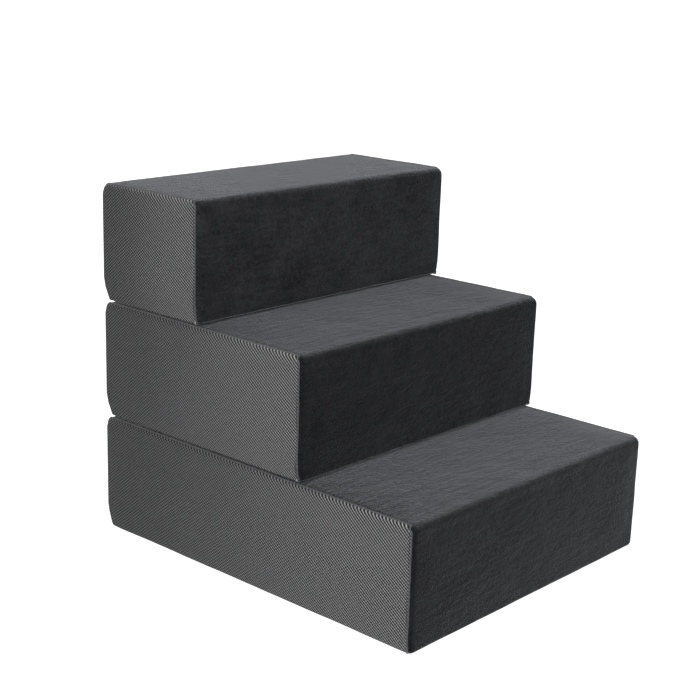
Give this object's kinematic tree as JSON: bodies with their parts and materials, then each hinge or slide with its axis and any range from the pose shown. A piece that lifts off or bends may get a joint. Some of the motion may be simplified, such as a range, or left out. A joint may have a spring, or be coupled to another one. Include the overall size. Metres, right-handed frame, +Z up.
{
  "type": "foam pet stairs",
  "caption": "Charcoal foam pet stairs: stacked step blocks with plush treads and risers, mesh sides, rear zips and fabric hinges",
  "frame": {"origin": "middle of the overall box, on the floor that the base block rests on", "axes": "+X runs across the steps to the right as one faces them, +Y runs from the steps to the upright rear, +Z is up"},
  "size_m": [0.4, 0.4698, 0.406],
  "materials": {
    "foam": "matte",
    "plush": "matte",
    "spacer_mesh": "matte",
    "underside_cloth": "matte",
    "grip_underside": "matte",
    "rear_cloth": "matte",
    "zip_tape": "matte",
    "zip_coil": "satin",
    "zip_metal": "satin",
    "zip_pull": "satin",
    "hook_tape": "matte",
    "loop_tape": "matte",
    "hinge_webbing": "matte"
  },
  "bodies": {
    "base_block": {"base_foam_core": "foam", "base_plush_wrap": "plush", "base_left_mesh_panel": "spacer_mesh", "base_right_mesh_panel": "spacer_mesh", "base_underside_panel": "grip_underside", "base_lower_rear_panel": "rear_cloth", "base_upper_rear_panel": "rear_cloth", "base_upper_zip_tape": "zip_tape", "base_lower_zip_tape": "zip_tape", "base_zip_coils": "zip_coil", "base_zip_stops": "zip_metal", "base_loop_strips": "loop_tape", "lower_fabric_hinge": "hinge_webbing"},
    "middle_block": {"middle_foam_core": "foam", "middle_plush_wrap": "plush", "middle_left_mesh_panel": "spacer_mesh", "middle_right_mesh_panel": "spacer_mesh", "middle_underside_panel": "underside_cloth", "middle_lower_rear_panel": "rear_cloth", "middle_upper_rear_panel": "rear_cloth", "middle_upper_zip_tape": "zip_tape", "middle_lower_zip_tape": "zip_tape", "middle_zip_coils": "zip_coil", "middle_zip_stops": "zip_metal", "middle_hook_strips": "hook_tape", "middle_loop_strips": "loop_tape", "upper_fabric_hinge": "hinge_webbing"},
    "top_block": {"top_foam_core": "foam", "top_plush_wrap": "plush", "top_left_mesh_panel": "spacer_mesh", "top_right_mesh_panel": "spacer_mesh", "top_underside_panel": "underside_cloth", "top_lower_rear_panel": "rear_cloth", "top_upper_rear_panel": "rear_cloth", "top_upper_zip_tape": "zip_tape", "top_lower_zip_tape": "zip_tape", "top_zip_coils": "zip_coil", "top_zip_stops": "zip_metal", "top_hook_strips": "hook_tape"},
    "base_slider": {"base_zip_slider": "zip_metal"},
    "base_pull": {"base_zip_pull": "zip_pull"},
    "middle_slider": {"middle_zip_slider": "zip_metal"},
    "middle_pull": {"middle_zip_pull": "zip_pull"},
    "top_slider": {"top_zip_slider": "zip_metal"},
    "top_pull": {"top_zip_pull": "zip_pull"}
  },
  "joints": [
    {"name": "lower_fold", "type": "hinge", "parent": "base_block", "child": "middle_block", "pos_m": [0, 0.2353, 0.135], "axis": [-1, 0, 0], "range_deg": [0, 90], "deforming": ["lower_fabric_hinge"]},
    {"name": "upper_fold", "type": "hinge", "parent": "middle_block", "child": "top_block", "pos_m": [0, 0.2353, 0.271], "axis": [-1, 0, 0], "range_deg": [0, 180], "deforming": ["upper_fabric_hinge"]},
    {"name": "base_zip_slide", "type": "slide", "parent": "base_block", "child": "base_slider", "axis": [-1, 0, 0], "range_m": [0, 0.3364]},
    {"name": "base_pull_flip", "type": "hinge", "parent": "base_slider", "child": "base_pull", "pos_m": [0.1682, 0.2334, 0.067], "axis": [0, 0, -1], "range_deg": [0, 180]},
    {"name": "middle_zip_slide", "type": "slide", "parent": "middle_block", "child": "middle_slider", "axis": [-1, 0, 0], "range_m": [0, 0.3364]},
    {"name": "middle_pull_flip", "type": "hinge", "parent": "middle_slider", "child": "middle_pull", "pos_m": [0.1682, 0.2334, 0.203], "axis": [0, 0, -1], "range_deg": [0, 180]},
    {"name": "top_zip_slide", "type": "slide", "parent": "top_block", "child": "top_slider", "axis": [-1, 0, 0], "range_m": [0, 0.3364]},
    {"name": "top_pull_flip", "type": "hinge", "parent": "top_slider", "child": "top_pull", "pos_m": [0.1682, 0.2334, 0.339], "axis": [0, 0, -1], "range_deg": [0, 180]}
  ]
}
